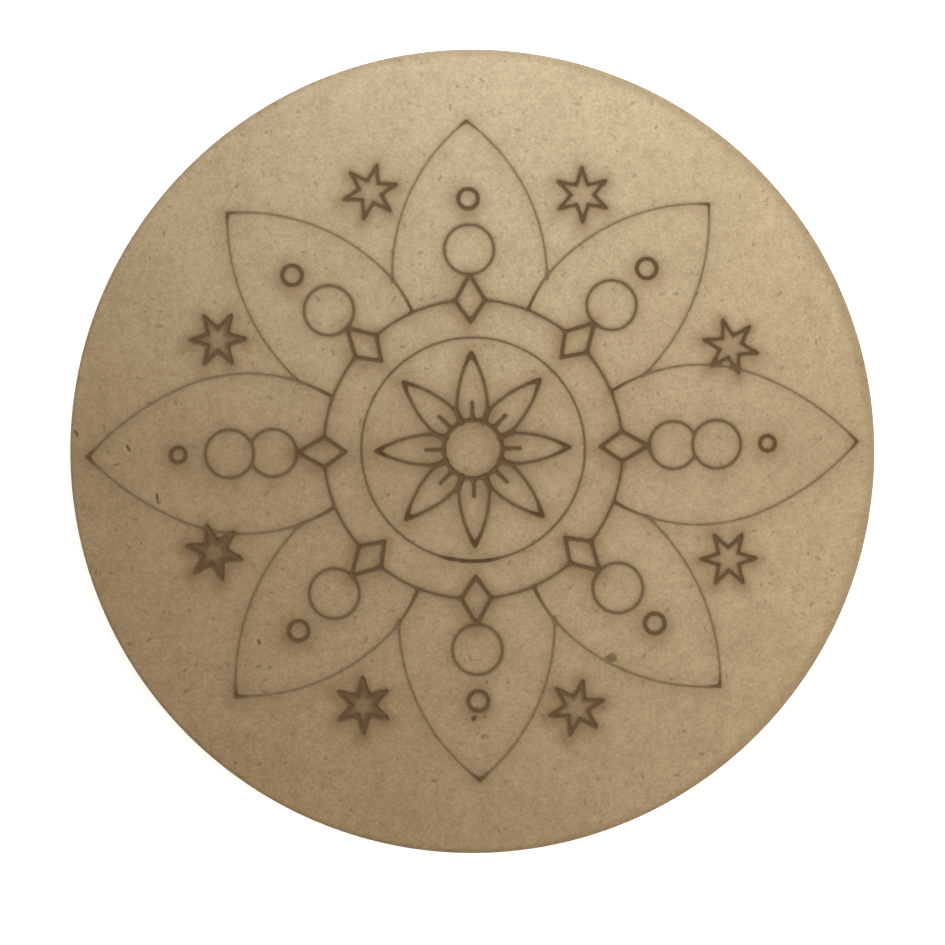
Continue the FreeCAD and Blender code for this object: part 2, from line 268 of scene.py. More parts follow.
def diamond():
    side_corner = sqrt(OUTER_RING**2 - DIAMOND_REACH**2)
    return outline([(DIAMOND_START, 0), (side_corner, DIAMOND_REACH), (DIAMOND_END, 0),
                    (side_corner, -DIAMOND_REACH)])


def outer_ring_part():
    """The outer ring from one diamond's side corner to the next."""
    corner = degrees(asin(DIAMOND_REACH / OUTER_RING))
    return [Arc((0, 0), OUTER_RING, corner, SECTOR_ANGLE - corner)]


def star():
    """A six-pointed star between two petals."""
    middle = turn((STAR_STATION, 0), STAR_BEARING)
    corners = []
    for step in range(2 * STAR_POINTS):
        reach = STAR_NOTCH if step % 2 else STAR_TIP
        corners.append(middle + turn((reach, 0), 90 + step * 180 / STAR_POINTS))
    return outline(corners)


def bead_pair():
    """A long petal's two beads; the near one stops where it meets the far one."""
    near_station, near_radius = PAIR_NEAR
    far_station, far_radius = PAIR_FAR
    gap = far_station - near_station
    meeting = degrees(acos((gap**2 + near_radius**2 - far_radius**2) / (2 * gap * near_radius)))
    return [Arc((near_station, 0), near_radius, meeting, 360 - meeting),
            Arc((far_station, 0), far_radius)]


def circle(station_and_radius):
    station, radius = station_and_radius
    return [Arc((station, 0), radius)]


def petal_side(side):
    """The upper side of a large petal: a side arc, and a flank arc from the shoulder out."""
    base = turn((OUTER_RING, 0), side.base)
    rise = side.reach - base[1]
    side_radius = ((side.shoulder - base[0])**2 + rise**2) / (2 * rise)
    side_y = side.reach - side_radius
    tip_gap = side.tip - side.shoulder
    join = radians(side.join)
    tip_along_join = tip_gap * sin(join) - side_y * cos(join)
    centre_gap = ((tip_gap**2 + side_y**2 - side_radius**2)
                  / (2 * (side_radius - tip_along_join)))
    flank_radius = side_radius + centre_gap
    flank_centre = (side.shoulder - centre_gap * sin(join), side_y - centre_gap * cos(join))
    tip_angle = degrees(acos((side.tip - flank_centre[0]) / flank_radius))
    inner_angle = 90 + degrees(asin((side.shoulder - (side.stop or base[0])) / side_radius))
    return [Arc(flank_centre, flank_radius, tip_angle, 90 - side.join),
            Arc((side.shoulder, side_y), side_radius, 90 - side.join, inner_angle)]


# ---------------------------------------------------------------- all the marks on the board

Figure = namedtuple("Figure", "strokes look")
Mark = namedtuple("Mark", "stroke look")


def figures_at(strokes, look, *bearings):
    """A figure at each bearing, made of the same strokes."""
    return [Figure([stroke.turned(bearing) for stroke in strokes], look) for bearing in bearings]


def large_petals():
    """The sides of all the large petals, each corner petal with its open side to a short one."""
    short = both_sides(petal_side(SHORT_SIDE))
    long = both_sides(petal_side(LONG_SIDE))
    open_above = petal_side(OPEN_SIDE) + [side.mirrored() for side in petal_side(HIDDEN_SIDE)]
    open_below = [stroke.mirrored() for stroke in open_above]
    return (figures_at(short, FINE, 90, 270) + figures_at(long, FINE, 0, 180)
            + figures_at(open_above, FINE, 45, 225) + figures_at(open_below, FINE, 135, 315))


def make_figures():
    """Every figure, from the core outwards; a star spreads further where it is singed further."""
    valleys = [bearing + SECTOR_ANGLE / 2 for bearing in EVERYWHERE]
    beyond_sides = [bearing for bearing in EVERYWHERE if bearing % 180]
    figures = [Figure([Arc((0, 0), CORE_RADIUS)], CORE), Figure([Arc((0, 0), INNER_RING)], INNER)]
    figures += figures_at(flower_petal(), FLOWER, *EVERYWHERE)
    figures += figures_at(flower_valley(), VALLEY, *valleys)
    figures += figures_at(stamen(), STAMENS, *EVERYWHERE)
    figures += figures_at(outer_ring_part(), RING, *EVERYWHERE)
    figures += figures_at(diamond(), DIAMONDS, *EVERYWHERE)
    figures += figures_at(circle(BEAD), BEADS, *beyond_sides)
    figures += figures_at(bead_pair(), BEADS, 0, 180)
    figures += figures_at(circle(STUD), STUDS, *beyond_sides)
    figures += figures_at(circle(SIDE_STUD), STUDS, 0, 180)
    for bearing, reach in zip(EVERYWHERE, STAR_SINGES):
        look = STARS._replace(spread=STARS.spread + STAR_BLEED * (reach - SINGE_REACH))
        figures += figures_at(star(), look, bearing)
    return figures + large_petals()


FIGURES = make_figures()
MARKS = [Mark(stroke, figure.look) for figure in FIGURES for stroke in figure.strokes]


def gaps_to(marks, spots):
    """How far each spot is from the lips of each mark's channel; negative inside it."""
    return np.array([mark.stroke.near(spots)[0] - mark.look.width / 2 for mark in marks])


# ---------------------------------------------------------------- the scored face

# Where the channel is deepest, its lip, and where the lip's rounding ends, by distance from the
# lip. Further lines keep the mesh even as it widens into the open face.
DEEPEST = -BOLD_LINE / 2
LIP_DROP = 0.015
LIP_END = 0.12
CONTOURS = ((DEEPEST, 0.7), (0.0, 0.7), (LIP_END, 0.7), (0.5, 0.9), (1.2, 1.3), (2.4, 2.0))
NARROWEST_FLOOR = 0.12

# The open face is filled with a shaken grid, this far from the lips and from the rim, and has a
# ring of half as many points as the rim just inside it. The back has a coarser grid.
FILL_STEP = 2.2
FILL_GAP = 3.2
FILL_MARGIN = 2
SHAKE = 1 / 8
SHAKE_SEED = 5
INNER_RIM_GAP = 1
BACK_STEP = 6
BACK_MARGIN = 4
RIM_COLUMNS = 1256
EDGE_ROUND = 0.1

# Points nearer than this become one when the faces are filled, and when the parts are joined.
MERGE = 0.02
WELD = MERGE / 10
NO_PAIRS = np.empty((0, 2), int)


def contour(level, step):
    """Points along the curve at one distance from the lips, and the pairs of them to join."""
    points = []
    pairs = []
    count = 0
    for mark in MARKS:
        reach = mark.look.width / 2 + level
        paths = mark.stroke.beside(reach) if reach > NARROWEST_FLOOR else [mark.stroke]
        for path in paths:
            points.append(path.points(step))
            ends = np.arange(count, count + len(points[-1]))
            pairs.append(np.column_stack((ends[:-1], ends[1:])))
            count = ends[-1] + 1
    points = np.concatenate(points)
    pairs = np.concatenate(pairs)
    covered = gaps_to(MARKS, points).min(axis=0) < level - MERGE
    pairs = pairs[~covered[pairs].all(axis=1)]
    used, pairs = np.unique(pairs, return_inverse=True)
    return points[used], pairs.reshape(-1, 2)


def rim_ring(radius, columns=RIM_COLUMNS):
    """Evenly spaced points round a circle about the middle."""
    angle = np.arange(columns) * 2 * pi / columns
    return radius * np.column_stack((np.cos(angle), np.sin(angle)))


def fill_points(step, reach):
    """A slightly uneven grid of points in rows that are offset from each other."""
    shake = np.random.default_rng(SHAKE_SEED)
    count = ceil(reach / step)
    rows = np.arange(-count, count + 1)
    x, y = np.meshgrid(rows * float(step), rows * step * sqrt(3) / 2)
    x[::2] += step / 2
    grid = np.column_stack((x.ravel(), y.ravel()))
    grid += shake.uniform(-step * SHAKE, step * SHAKE, grid.shape)
    return grid[np.hypot(grid[:, 0], grid[:, 1]) < reach]


def triangulate(points, pairs):
    """Triangles over the points that keep the given pairs as edges."""
    every_triangle = 0
    result = delaunay_2d_cdt([Vector(point) for point in points], pairs, [], every_triangle,
                             MERGE, False)
    return np.array([tuple(point) for point in result[0]]), [tuple(face) for face in result[2]]


def score_profile(gap):
    """How far the face is sunk at each distance from the lips."""
    return np.interp(gap, (DEEPEST, 0, LIP_END), (SCORE_DEPTH, LIP_DROP, 0))


def scored_face():
    """The upper face, with every channel in it."""
    groups = [contour(level, step) for level, step in CONTOURS]
    rim = rim_ring(RADIUS - EDGE_ROUND)
    ends = np.arange(len(rim))
    groups.append((rim, np.column_stack((ends, np.roll(ends, -1)))))
    groups.append((rim_ring(RADIUS - INNER_RIM_GAP, RIM_COLUMNS // 2), NO_PAIRS))
    grid = fill_points(FILL_STEP, RADIUS - FILL_MARGIN)
    groups.append((grid[gaps_to(MARKS, grid).min(axis=0) > FILL_GAP], NO_PAIRS))
    point_groups, pair_groups = zip(*groups)
    starts = np.cumsum([0] + [len(points) for points in point_groups])
    pairs = np.concatenate([pairs + start for pairs, start in zip(pair_groups, starts)])
    flat, faces = triangulate(np.concatenate(point_groups), pairs.tolist())
    sunk = score_profile(gaps_to(MARKS, flat).min(axis=0))
    return np.column_stack((flat, THICKNESS - sunk)), faces


def plain_back():
    """The flat lower face."""
    grid = fill_points(BACK_STEP, RADIUS - BACK_MARGIN)
    flat, faces = triangulate(np.concatenate((rim_ring(RADIUS - EDGE_ROUND), grid)), [])
    return np.column_stack((flat, np.zeros(len(flat)))), [face[::-1] for face in faces]


# ---------------------------------------------------------------- the cut edge

# Inset from the rim and height at each row of the edge, from the face down to the back.
ROUND_INSET = 0.03
EDGE_ROWS = ((EDGE_ROUND, THICKNESS), (ROUND_INSET, THICKNESS - ROUND_INSET),
             (0, THICKNESS - EDGE_ROUND), (0, 2.4), (0, 1.8), (0, 1.2), (0, 0.6),
             (0, EDGE_ROUND), (ROUND_INSET, ROUND_INSET), (EDGE_ROUND, 0))

# The laser's striations: how deep they are at the back, their pitch round the rim, and how fast
# they change from the face to the back, as a share of their change round the rim.
STRIA_DEPTH = 0.05
STRIA_PITCH = 0.9
STRIA_STRETCH = 0.15


def edge_wall():
    """The cut edge: upright striations that deepen towards the back."""
    rows = []
    for inset, height in EDGE_ROWS:
        ring = rim_ring(RADIUS - inset)
        if inset < EDGE_ROUND:
            share = 1 - height / THICKNESS / 2
            level = height * STRIA_STRETCH
            grooves = [noise.noise(Vector((x, y, level)) / STRIA_PITCH) for x, y in ring]
            cut = STRIA_DEPTH * share * np.abs(grooves)
            ring *= (1 - cut / RADIUS)[:, None]
        rows.append(np.column_stack((ring, np.full(len(ring), height))))
    faces = []
    for row in range(len(rows) - 1):
        for column in range(RIM_COLUMNS):
            upper = row * RIM_COLUMNS
            lower = upper + RIM_COLUMNS
            after = (column + 1) % RIM_COLUMNS
            faces.append((upper + column, lower + column, lower + after, upper + after))
    return np.concatenate(rows), faces


# ---------------------------------------------------------------- one mesh out of the three

# Where the scored face, the back and the strips of the edge lie in the texture, and their sizes.
UV_NAME = "OFBake"
FACE_SPOT = (0.455, 0.455)
FACE_SPAN = 0.45
BACK_SPOT = (0.865, 0.865)
BACK_SPAN = 0.13
STRIP_SPOTS = (0.925, 0.95, 0.975)
STRIP_START = 0.01
STRIP_LENGTH = 0.7
STRIP_WIDTH = 0.014

# Corners that bend more than this stay crisp.
CREASE = radians(50)


def disc_corners(points, faces, spot, span, mirror=1):
    """Texture places for the corners of a flat round face."""
    corners = points[np.concatenate(faces)][:, :2]
    return np.array(spot) + corners * (mirror, 1) * span / RADIUS


def edge_corners(faces):
    """Texture places for the edge, laid out flat in upright strips."""
    places = []
    columns_each = ceil(RIM_COLUMNS / len(STRIP_SPOTS))
    for index in range(len(faces)):
        row, column = divmod(index, RIM_COLUMNS)
        strip, start = divmod(column, columns_each)
        levels = [(THICKNESS - EDGE_ROWS[line][1]) / THICKNESS for line in (row, row + 1)]
        upper, lower = (STRIP_SPOTS[strip] + STRIP_WIDTH * level for level in levels)
        near, far = ((start + step) / columns_each * STRIP_LENGTH + STRIP_START
                     for step in (0, 1))
        places += [(upper, near), (lower, near), (lower, far), (upper, far)]
    return np.array(places)


def weld(points, faces):
    """Merge the points that the parts share."""
    keys = np.round(points / WELD).astype(int)
    _, first, merged = np.unique(keys, axis=0, return_index=True, return_inverse=True)
    merged = merged.ravel()
    return points[first], [tuple(merged[list(face)]) for face in faces]


def build_board():
    """The whole board as one mesh, with its texture places and its burns."""
    top, top_faces = scored_face()
    wall, wall_faces = edge_wall()
    back, back_faces = plain_back()
    corners = np.concatenate((disc_corners(top, top_faces, FACE_SPOT, FACE_SPAN),
                              edge_corners(wall_faces),
                              disc_corners(back, back_faces, BACK_SPOT, BACK_SPAN, mirror=-1)))
    faces = list(top_faces)
    faces += [tuple(np.add(face, len(top))) for face in wall_faces]
    faces += [tuple(np.add(face, len(top) + len(wall))) for face in back_faces]
    points, faces = weld(np.concatenate((top, wall, back)), faces)
    mesh = bpy.data.meshes.new("scored_board")
    mesh.from_pydata((points * MM).tolist(), [], [[int(n) for n in face] for face in faces])
    mesh.uv_layers.new(name=UV_NAME).data.foreach_set("uv", corners.ravel())
    # The weld shrinks a few faces to nothing; this drops them.
    mesh.validate()
    mark_burns(mesh, points)
    mesh.polygons.foreach_set("use_smooth", np.ones(len(mesh.polygons), bool))
    sharpen(mesh)
    mesh.update()
    return bpy.data.objects.new("scored_board", mesh)


def sharpen(mesh):
    """Keep the steep corners crisp under smooth shading."""
    form = bmesh.new()
    form.from_mesh(mesh)
    for edge in form.edges:
        if len(edge.link_faces) == 2 and edge.calc_face_angle() > CREASE:
            edge.smooth = False
    form.to_mesh(mesh)
    form.free()


# ---------------------------------------------------------------- where it burned

# The way to the lee side, where the char is broader and paler, and how much at the far end of it.
LEE = np.array((-1, -1)) / sqrt(2)
LEE_SPREAD = 0.06
WINDWARD_BURN = 1.06
LEE_PALING = 0.36

# The heat of neighbouring strokes adds up over one distance, and their looks blend over another.
HEAT_REACH = 0.3
BLEND = 0.5

# What is added at a dwell spot, and at the root of a petal's line where it leaves the outer ring:
# how far this reaches, more char, more spread of it, more again on the lee side, and more smoke.
Extra = namedtuple("Extra", "reach burn spread lee_spread smoke")
DWELL = Extra(2.8, 0.3, 0.05, 0.27, 0.2)
ROOT = Extra(6, 0.5, 0.08, 0.33, 0)

# Where the inner ring's end runs over its start, as bearings.
RING_OVERLAP = (258, 264, 270, 276)

# How the smoke drifted and how far it reaches, how dark it lies inside a star, and a haze along
# the x axis: how dark that is, and how far it reaches to both sides.
DRIFT = np.array((-0.3, -0.5))
SMOKE_REACH = 2.3
STAR_SMOKE = 0.55
HAZE = 0.18
HAZE_REACH = 18

# A distance that stands for out of reach, and how many points are worked on at once.
FAR = 9.0
BATCH = 20000


def petal_tip(bearing):
    """How far out the large petal at a bearing ends."""
    if bearing % 180 == 0:
        return LONG_SIDE.tip
    return OPEN_SIDE.tip if bearing % 90 else SHORT_SIDE.tip


def dwell_spots():
    """Where the laser stopped, turned sharply or went over its own line, and burned more."""
    spots = [turn((INNER_RING, 0), bearing) for bearing in RING_OVERLAP]
    for bearing in EVERYWHERE:
        spots.append(turn((petal_tip(bearing), 0), bearing))
        spots.append(turn((FLOWER_TIP, 0), bearing))
    return spots


DWELLS = dwell_spots()


def dwell_at(spots):
    """How close each spot is to a dwell spot: 1 on it, and 0 far away."""
    away = [np.linalg.norm(spots - spot, axis=1) for spot in DWELLS]
    return np.exp(-(np.min(away, axis=0) / DWELL.reach)**2)


def root_at(spots, fine_share):
    """How close each spot on a petal's line is to the outer ring: 1 beside it, and 0 far away."""
    beyond_ring = np.maximum(np.hypot(*spots.T) - OUTER_RING, 0)
    return fine_share * (beyond_ring > 0) * np.exp(-beyond_ring / ROOT.reach)


def inside(strokes, spots):
    """Which spots a closed run of straight strokes surrounds."""
    within = np.zeros(len(spots), bool)
    for stroke in strokes:
        x, y = stroke.start
        run_x, run_y = stroke.run
        rise = spots[:, 1] - y
        crosses = (rise > 0) != (rise > run_y)
        within ^= crosses & ((spots[:, 0] - x) * abs(run_y) < rise * run_x * np.sign(run_y))
    return within


def smoke_at(spots):
    """The smoke stain that each figure left around it, drifted a little."""
    clear = np.ones(len(spots))
    for figure in FIGURES:
        away = np.min([stroke.near(spots - DRIFT)[0] for stroke in figure.strokes], axis=0)
        gap = np.maximum(away - figure.look.width / 2, 0)
        clear *= 1 - figure.look.smoke * np.exp(-(gap / SMOKE_REACH)**2)
    return 1 - clear


def char_at(spots):
    """How far each spot is from the char, and how much each mark's look counts there.

    The heat of strokes that run close together adds up, so the char fills the narrow corners
    between them.
    """
    near = [mark.stroke.near(spots) for mark in MARKS]
    gaps = np.array([away - mark.look.width / 2 for (away, _), mark in zip(near, MARKS)])
    gap = gaps.min(axis=0)
    abreast = np.array([flags for _, flags in near])
    heat = (np.exp((gap - gaps) / HEAT_REACH) * abreast).sum(axis=0)
    heated = gap - HEAT_REACH * np.log(np.maximum(heat, 1))
    weights = np.exp((gap - gaps) / BLEND)
    return np.minimum(heated, FAR), weights / weights.sum(axis=0)


def burns_at(spots):
    """How the board burned at each spot, as the values that the material reads."""
    char_gap, weights = char_at(spots)
    burn, spread = (weights.T @ [getattr(mark.look, name) for mark in MARKS]
                    for name in ("burn", "spread"))
    lee = 0.5 + 0.5 * spots @ LEE / RADIUS
    dwell = dwell_at(spots)
    root = root_at(spots, weights.T @ [mark.look is FINE for mark in MARKS])
    burn = (burn + ROOT.burn * root) * (WINDWARD_BURN - LEE_PALING * lee) + DWELL.burn * dwell
    spread += LEE_SPREAD * lee
    spread += (DWELL.spread + DWELL.lee_spread * lee) * dwell
    spread += (ROOT.spread + ROOT.lee_spread * lee) * root
    haze = HAZE * np.exp(-(spots[:, 1] / HAZE_REACH)**2)
    smoke = 1 - (1 - smoke_at(spots)) * (1 - haze)
    smoke += DWELL.smoke * dwell + ROOT.smoke * root
    singe_reach = np.full(len(spots), SINGE_REACH)
    for bearing, reach in zip(EVERYWHERE, STAR_SINGES):
        within = inside([stroke.turned(bearing) for stroke in star()], spots)
        singe_reach[within] = reach
        smoke[within] = STAR_SMOKE
    return {"char_gap": char_gap, "burn": burn, "spread": spread, "singe_reach": singe_reach,
            "smoke": smoke}


def mark_burns(mesh, points):
    """Store on each point of the mesh how it was burned."""
    spots = points[:, :2]
    off_face = points[:, 2] < THICKNESS - SCORE_DEPTH - EDGE_ROUND
    off_face |= np.hypot(*spots.T) > RADIUS - EDGE_ROUND / 2
    batches = [burns_at(some) for some in np.array_split(spots, ceil(len(spots) / BATCH))]
    for name in batches[0]:
        value = np.concatenate([batch[name] for batch in batches])
        value[off_face] = FAR if name == "char_gap" else 0
        layer = mesh.attributes.new(name, "FLOAT", "POINT")
        layer.data.foreach_set("value", value.astype(np.float32))


# ---------------------------------------------------------------- materials

class Steps:
    """The nodes of one material, added one step at a time.

    A step takes numbers, colours or the outputs of earlier steps.
    """

    def __init__(self, name):
        self.material = bpy.data.materials.new(name)
        self.material.use_nodes = True
        self.nodes = self.material.node_tree.nodes
        self.links = self.material.node_tree.links
        self.surface = self.nodes["Principled BSDF"]

    def feed(self, socket, value):
        """Link an earlier step's output to a socket, or set the socket's own value."""
        if isinstance(value, bpy.types.NodeSocket):
            self.links.new(value, socket)
        else:
            socket.default_value = value

    def finish(self, inputs):
        """Feed the surface of the material."""
        for name, value in inputs.items():
            self.feed(self.surface.inputs[name], value)

    def add(self, kind, inputs, output=0, **settings):
        """Add a node and give one of its outputs."""
        node = self.nodes.new(kind)
        for name, value in settings.items():
            setattr(node, name, value)
        for name, value in inputs.items():
            self.feed(node.inputs[name], value)
        return node.outputs[output]

    def math(self, operation, *values):
        return self.add("ShaderNodeMath", dict(enumerate(values)), operation=operation)

    def times(self, *values):
        product = values[0]
        for value in values[1:]:
            product = self.math("MULTIPLY", product, value)
        return product

    def total(self, *values):
        result = values[0]
        for value in values[1:]:
            result = self.math("ADD", result, value)
        return result

    def vector(self, operation, *values, output=0):
        return self.add("ShaderNodeVectorMath", dict(enumerate(values)), output=output,
                        operation=operation)

    def scaled(self, place, factor):
        return self.add("ShaderNodeVectorMath", {0: place, "Scale": factor}, operation="SCALE")

    def fade(self, value, start, end):
        """0 before the start and 1 after the end, with a smooth change between them."""
        inputs = {"Value": value, "From Min": start, "From Max": end}
        return self.add("ShaderNodeMapRange", inputs, interpolation_type="SMOOTHSTEP")

    def noise(self, place, *layers):
        """Soft noise about 0, from layers that each have a size of lump, a detail and a weight."""
        parts = []
        for size, detail, weight in layers:
            inputs = {"Vector": place, "Scale": 1 / size, "Detail": detail}
            centred = self.math("SUBTRACT", self.add("ShaderNodeTexNoise", inputs), 0.5)
            parts.append(self.times(centred, weight))
        return self.total(*parts)

    def rotated(self, place, angle):
        return self.add("ShaderNodeVectorRotate", {"Vector": place, "Angle": angle},
                        rotation_type="Z_AXIS")

    def parts(self, kind, value, count):
        """The first few outputs of a node that takes a value apart."""
        return [self.add(kind, {0: value}, output=index) for index in range(count)]

    def blend(self, share, first, second):
        """A colour that goes from the first to the second as the share goes from 0 to 1."""
        inputs = {0: share, 6: first, 7: second}
        return self.add("ShaderNodeMix", inputs, output=2, data_type="RGBA")

    def attribute(self, name):
        return self.add("ShaderNodeAttribute", {}, output=2, attribute_name=name)


def place_in_mm(steps):
    """Where each point of the surface is on the board."""
    place = steps.add("ShaderNodeTexCoord", {}, output="Object")
    return steps.scaled(place, 1 / MM)


BOARD_DARK = (0.41, 0.293, 0.166, 1)
BOARD_PALE = (0.588, 0.443, 0.270, 1)
FIBRE_PALE = (0.70, 0.57, 0.39, 1)
SPECK_DARK = (0.20, 0.13, 0.07, 1)
SMOKE_BROWN = (0.245, 0.148, 0.066, 1)
CHAR_BROWN = (0.118, 0.065, 0.025, 1)
EDGE_BROWN = (0.07, 0.038, 0.018, 1)
EDGE_PALE = (0.17, 0.10, 0.048, 1)

# Layers of noise, each with its size of lump in mm, its detail and its weight.
BOARD_MOTTLE = ((34, 2, 0.25), (8, 3, 0.42), (2.2, 3, 0.65), (0.7, 2, 1.15))
BOARD_GRAIN = ((0.35, 3, 0.6), (1.6, 3, 0.8))
GLOSS_MOTTLE = ((1.5, 2, 0.15),)
SMOKE_MOTTLE = ((5, 3, 1), (0.8, 2, 0.5))
RIM_SMOKE_RAGGED = ((9, 2, 2.5), (1.5, 3, 2.0))
CHAR_RAGGED = ((0.9, 3, 0.36), (0.3, 2, 0.25))
STAIN_RAGGED = ((0.7, 3, 1.6),)
EDGE_STREAKS = ((0.7, 3, 1), (6, 2, 1))
FLOOR_MOTTLE = ((60, 2, 0.02),)

# Fibres and specks in the board: the size of the cells that each may lie in, its length and
# width, the share of cells that hold one, a shift that keeps the kinds apart, how strongly it
# shows, and its colour.
Fleck = namedtuple("Fleck", "cell length width share shift strength colour")
FLECKS = (Fleck(3.0, 2.2, 0.3, 0.3, 3.7, 0.12, FIBRE_PALE),
          Fleck(6.0, 1.5, 0.7, 0.3, 11.3, 0.45, SPECK_DARK),
          Fleck(3.4, 0.8, 0.5, 0.24, 29.1, 0.42, SPECK_DARK))
FLECK_SCATTER = 0.9
FLECK_BORDER = (1.1, 0.6)

# Smoke along the rim: its usual width and its least, how dark it is and how much darker on the
# side where it is widest, and the way to that side, with a length of about 1. A border here and
# below is where something starts to show and where it shows in full.
RIM_SMOKE_WIDTH = 1.6
RIM_SMOKE_LEAST = 0.3
RIM_SMOKE = 0.3
RIM_SMOKE_GAIN = 0.12
RIM_SMOKE_WAY = (1, 0.25)
RIM_SMOKE_BORDER = (1.4, 0.3)
MOST_SMOKE = 0.95

# The borders of the char and of the stains. How steeply singeing falls away from the char, its
# strength for each mm of its reach, and the least reach that it can have.
CHAR_BORDER = (0.08, -0.07)
STAIN_BORDER = (1.4, 0.5)
SINGE_FALL = 1.5
SINGE_STRENGTH = 1.1
SINGE_LEAST = 0.01

# The cut edge: its border by the distance from the rim, its middle tone, and how fast its streaks
# change from the face to the back, as a share of their change round the rim.
EDGE_BORDER = (0.11, 0.02)
EDGE_TONE = 0.45
STREAK_STRETCH = 0.12

# The board's gloss, how much duller the char is, and the depth of its grain in mm.
SPECULAR = 0.4
ROUGHNESS = 0.62
CHAR_ROUGHNESS = 0.25
GRAIN_DEPTH = 0.06
GRAIN_STRENGTH = 0.5


def flecks(steps, place, kind):
    """Small slim marks at scattered places and angles: one in a share of the cells."""
    moved = steps.vector("ADD", place, (kind.shift, kind.shift, 0))
    inputs = {"Vector": moved, "Scale": 1 / kind.cell, "Randomness": FLECK_SCATTER}
    colour, centre = (steps.add("ShaderNodeTexVoronoi", inputs, output, voronoi_dimensions="2D")
                      for output in ("Color", "Position"))
    offset = steps.vector("SUBTRACT", moved, centre)
    bearing, chance, size = steps.parts("ShaderNodeSeparateColor", colour, 3)
    local = steps.rotated(offset, steps.times(bearing, 2 * pi))
    x, y = steps.parts("ShaderNodeSeparateXYZ", local, 2)
    grown = steps.total(0.5, size)
    x = steps.math("DIVIDE", x, steps.times(grown, kind.length / 2))
    y = steps.math("DIVIDE", y, steps.times(grown, kind.width / 2))
    across = steps.math("SQRT", steps.total(steps.times(x, x), steps.times(y, y)))
    shape = steps.fade(across, *FLECK_BORDER)
    return steps.times(shape, steps.math("LESS_THAN", chance, kind.share))


def board_colour(steps, place):
    """Pressed wood fibre: soft mottling, fine grain, pale fibres and dark specks of bark."""
    tone = steps.total(0.5, steps.noise(place, *BOARD_MOTTLE))
    colour = steps.blend(steps.fade(tone, 0, 1), BOARD_DARK, BOARD_PALE)
    for kind in FLECKS:
        shown = steps.times(flecks(steps, place, kind), kind.strength)
        colour = steps.blend(shown, colour, kind.colour)
    return colour


def rim_distance(steps, place):
    """How far each place is from the rim, in mm."""
    flat = steps.vector("MULTIPLY", place, (1, 1, 0))
    return steps.math("SUBTRACT", RADIUS, steps.vector("LENGTH", flat, output=1))


def rim_smoke(steps, place):
    """Smoke along the cut edge, wider and darker on the right than on the left, and ragged."""
    way = Vector((*RIM_SMOKE_WAY, 0)) / RADIUS
    rightward = steps.vector("DOT_PRODUCT", place, way, output=1)
    width = steps.total(RIM_SMOKE_WIDTH, rightward, steps.noise(place, *RIM_SMOKE_RAGGED))
    share = steps.math("DIVIDE", rim_distance(steps, place),
                       steps.math("MAXIMUM", width, RIM_SMOKE_LEAST))
    strength = steps.total(RIM_SMOKE, steps.times(rightward, RIM_SMOKE_GAIN))
    return steps.times(steps.fade(share, *RIM_SMOKE_BORDER), strength)


def smoke_share(steps, place):
    """How much smoke lies at each place, around the figures and along the rim."""
    uneven = steps.total(1, steps.noise(place, *SMOKE_MOTTLE))
    smoke = steps.times(steps.attribute("smoke"), uneven)
    smoke = steps.math("MAXIMUM", smoke, rim_smoke(steps, place))
    return steps.math("MINIMUM", smoke, MOST_SMOKE)


def stain(steps, place, spot):
    """An uneven oval that fades at its edge."""
    offset = steps.vector("SUBTRACT", place, (spot.x, spot.y, THICKNESS))
    local = steps.rotated(offset, -radians(spot.bearing))
    scaled = steps.vector("MULTIPLY", local, (2 / spot.length, 2 / spot.width, 1))
    away = steps.vector("LENGTH", scaled, output=1)
    ragged = steps.total(away, steps.noise(place, *STAIN_RAGGED))
    return steps.times(steps.fade(ragged, *STAIN_BORDER), spot.strength)


def singe(steps, gap, reach):
    """Browning that fades away from the char, and is stronger where it reaches further."""
    share = steps.math("DIVIDE", steps.math("MAXIMUM", gap, 0),
                       steps.math("MAXIMUM", reach, SINGE_LEAST))
    fall = steps.math("POWER", share, SINGE_FALL)
    fall = steps.math("EXPONENT", steps.times(fall, -1))
    strength = steps.math("MINIMUM", steps.times(reach, SINGE_STRENGTH), 1)
    return steps.times(fall, strength)


def char_share(steps, place):
    """How charred each place is: in the channels and a ragged border, and at the stains."""
    gap = steps.attribute("char_gap")
    ragged = steps.total(gap, steps.noise(place, *CHAR_RAGGED))
    beyond = steps.math("SUBTRACT", ragged, steps.attribute("spread"))
    singed = singe(steps, gap, steps.attribute("singe_reach"))
    char = steps.math("MAXIMUM", steps.fade(beyond, *CHAR_BORDER), singed)
    char = steps.times(char, steps.attribute("burn"))
    for spot in STAINS:
        char = steps.math("MAXIMUM", char, stain(steps, place, spot))
    return steps.math("MINIMUM", char, 1)


def edge_colour(steps, place):
    """The charred edge, streaked from the face to the back."""
    streaks = steps.vector("MULTIPLY", place, (1, 1, STREAK_STRETCH))
    tone = steps.total(EDGE_TONE, steps.noise(streaks, *EDGE_STREAKS))
    return steps.blend(tone, EDGE_BROWN, EDGE_PALE)


